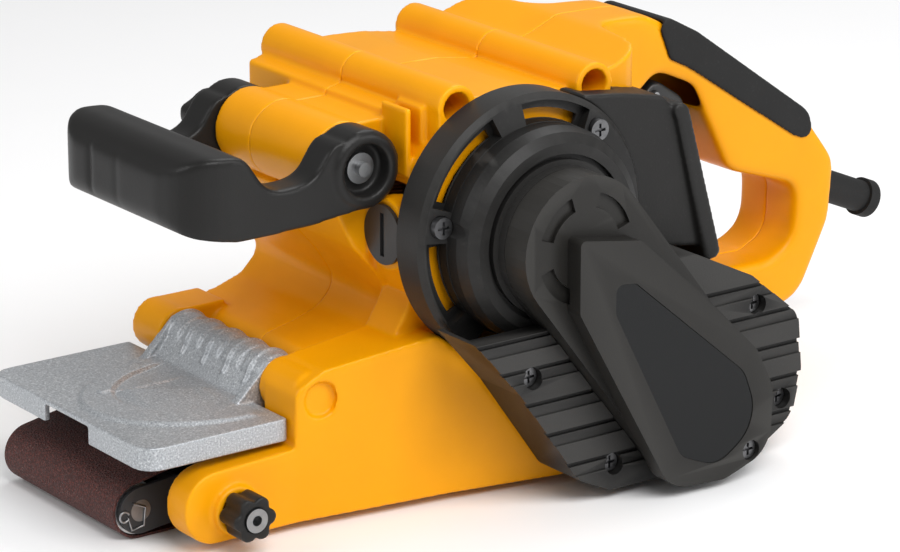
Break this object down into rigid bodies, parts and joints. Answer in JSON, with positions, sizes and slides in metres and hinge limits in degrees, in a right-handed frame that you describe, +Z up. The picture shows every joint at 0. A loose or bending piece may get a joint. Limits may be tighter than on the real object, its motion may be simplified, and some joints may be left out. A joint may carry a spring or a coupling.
{
  "type": "handheld belt sander",
  "caption": "Handheld belt sander with a hinged cast nose cover, swinging front handle, rear D-handle with trigger, transverse motor and a belt drive down to the rear drum.",
  "frame": {"origin": "middle of the flat sanding face under the belt", "axes": "+Y from the nose to the rear handle, +X to the side of the belt drive and tracking knob, +Z up, away from the work"},
  "size_m": [0.1665, 0.3817, 0.1539],
  "materials": {
    "yellow_plastic": "satin moulded glass-filled nylon, golden yellow",
    "black_plastic": "fine moulded texture",
    "black_cover_plastic": "smooth satin",
    "label_gloss": "glossy blank insert",
    "grip_rubber": "moulded, dull",
    "trigger_plastic": "satin",
    "inner_plastic": "plain",
    "film_capacitor": "plain",
    "handle_plastic": "satin",
    "cap_plastic": "satin",
    "cast_alloy": "die cast, fine speckle",
    "black_frame": "black painted pressed frame",
    "turned_alloy": "turned",
    "steel": "ground",
    "spring_steel": "wire",
    "bearing_steel": "polished",
    "zinc_screw": "zinc plated",
    "abrasive_cloth": "brown abrasive grit on cloth",
    "graphite_pad": "graphite coated canvas",
    "drum_rubber": "dull",
    "pulley_metal": "hard anodised",
    "laminated_iron": "laminated",
    "copper_wire": "enamelled copper",
    "brass_tube": "drawn",
    "carbon": "pressed carbon"
  },
  "bodies": {
    "housing": {"left_housing": "yellow_plastic", "right_housing": "yellow_plastic", "end_shield": "black_plastic", "drive_case": "black_plastic", "drive_cover": "black_cover_plastic", "label_plate": "label_gloss", "rear_hood": "black_plastic", "dust_port": "black_plastic", "soft_grip": "grip_rubber", "trigger_pin": "steel", "switch_block": "inner_plastic", "capacitor": "film_capacitor", "cord_boot": "grip_rubber", "cord_clamp": "inner_plastic", "hinge_pin": "steel", "cover_spring": "spring_steel", "sanding_belt": "abrasive_cloth", "platen_pad": "graphite_pad", "platen": "steel", "belt_frame": "black_frame", "lever_pin": "steel", "drum_bearings": "bearing_steel", "toothed_belt": "drum_rubber", "field_core": "laminated_iron", "field_coils": "copper_wire", "motor_bearings": "bearing_steel", "brush_holders": "brass_tube", "carbon_brushes": "carbon", "brush_springs": "spring_steel", "brush_caps": "cap_plastic", "housing_screws": "zinc_screw", "cover_screws": "zinc_screw"},
    "cover": {"nose_cover": "cast_alloy"},
    "front_handle": {"front_handle": "handle_plastic", "handle_bolt": "steel"},
    "clamp_knob": {"clamp_knob": "handle_plastic"},
    "trigger": {"trigger": "trigger_plastic"},
    "tracking": {"tracking_knob": "handle_plastic", "tracking_screw": "steel"},
    "lever": {"tension_lever": "handle_plastic"},
    "yoke": {"roller_yoke": "inner_plastic", "idler_axle": "steel", "roller_clip": "spring_steel", "tension_springs": "spring_steel"},
    "idler": {"idler_roller": "turned_alloy"},
    "rotor": {"motor_shaft": "steel", "armature_core": "laminated_iron", "armature_windings": "copper_wire", "commutator": "copper_wire", "fan": "inner_plastic", "motor_pulley": "pulley_metal"},
    "drum": {"drive_drum": "turned_alloy", "drum_sleeve": "drum_rubber", "drum_shaft": "steel", "drum_pulley": "pulley_metal"}
  },
  "joints": [
    {"name": "nose_cover_hinge", "type": "hinge", "parent": "housing", "child": "cover", "pos_m": [0.009, -0.0386, 0.0476], "axis": [-1, 0, 0], "range_deg": [0, 60], "stiffness_Nm_per_rad": 0.15, "springref_deg": -22.92},
    {"name": "front_handle_pivot", "type": "hinge", "parent": "housing", "child": "front_handle", "pos_m": [0.008, -0.014, 0.126], "axis": [-1, 0, 0], "range_deg": [0, 60]},
    {"name": "clamp_knob_turn", "type": "hinge", "parent": "front_handle", "child": "clamp_knob", "pos_m": [-0.037, -0.014, 0.126], "axis": [1, 0, 0], "continuous": true},
    {"name": "trigger_pull", "type": "hinge", "parent": "housing", "child": "trigger", "pos_m": [0.008, 0.145, 0.1205], "axis": [1, 0, 0], "range_deg": [0, 7], "stiffness_Nm_per_rad": 0.8, "springref_deg": -6.88},
    {"name": "tracking_turn", "type": "hinge", "parent": "housing", "child": "tracking", "pos_m": [0.074, -0.075, 0.0145], "axis": [1, 0, 0], "continuous": true},
    {"name": "tension_lever_swing", "type": "hinge", "parent": "housing", "child": "lever", "pos_m": [-0.038, -0.053, 0.015], "axis": [0, 0, 1], "range_deg": [0, 70]},
    {"name": "roller_yoke_slide", "type": "slide", "parent": "housing", "child": "yoke", "axis": [0, 1, 0], "range_m": [0, 0.006]},
    {"name": "front_roller_spin", "type": "hinge", "parent": "yoke", "child": "idler", "pos_m": [0, -0.097, 0.0106], "axis": [1, 0, 0], "continuous": true},
    {"name": "motor_spin", "type": "hinge", "parent": "housing", "child": "rotor", "pos_m": [0.012, 0.043, 0.1], "axis": [1, 0, 0], "continuous": true},
    {"name": "drum_spin", "type": "hinge", "parent": "housing", "child": "drum", "pos_m": [0, 0.106, 0.029], "axis": [1, 0, 0], "continuous": true}
  ],
  "couplings": [
    {"joint": "tension_lever_swing", "follows": "roller_yoke_slide", "rad_per_m": 203.5},
    {"joint": "drum_spin", "follows": "motor_spin", "ratio": 0.57143},
    {"joint": "front_roller_spin", "follows": "motor_spin", "ratio": 1.69}
  ]
}
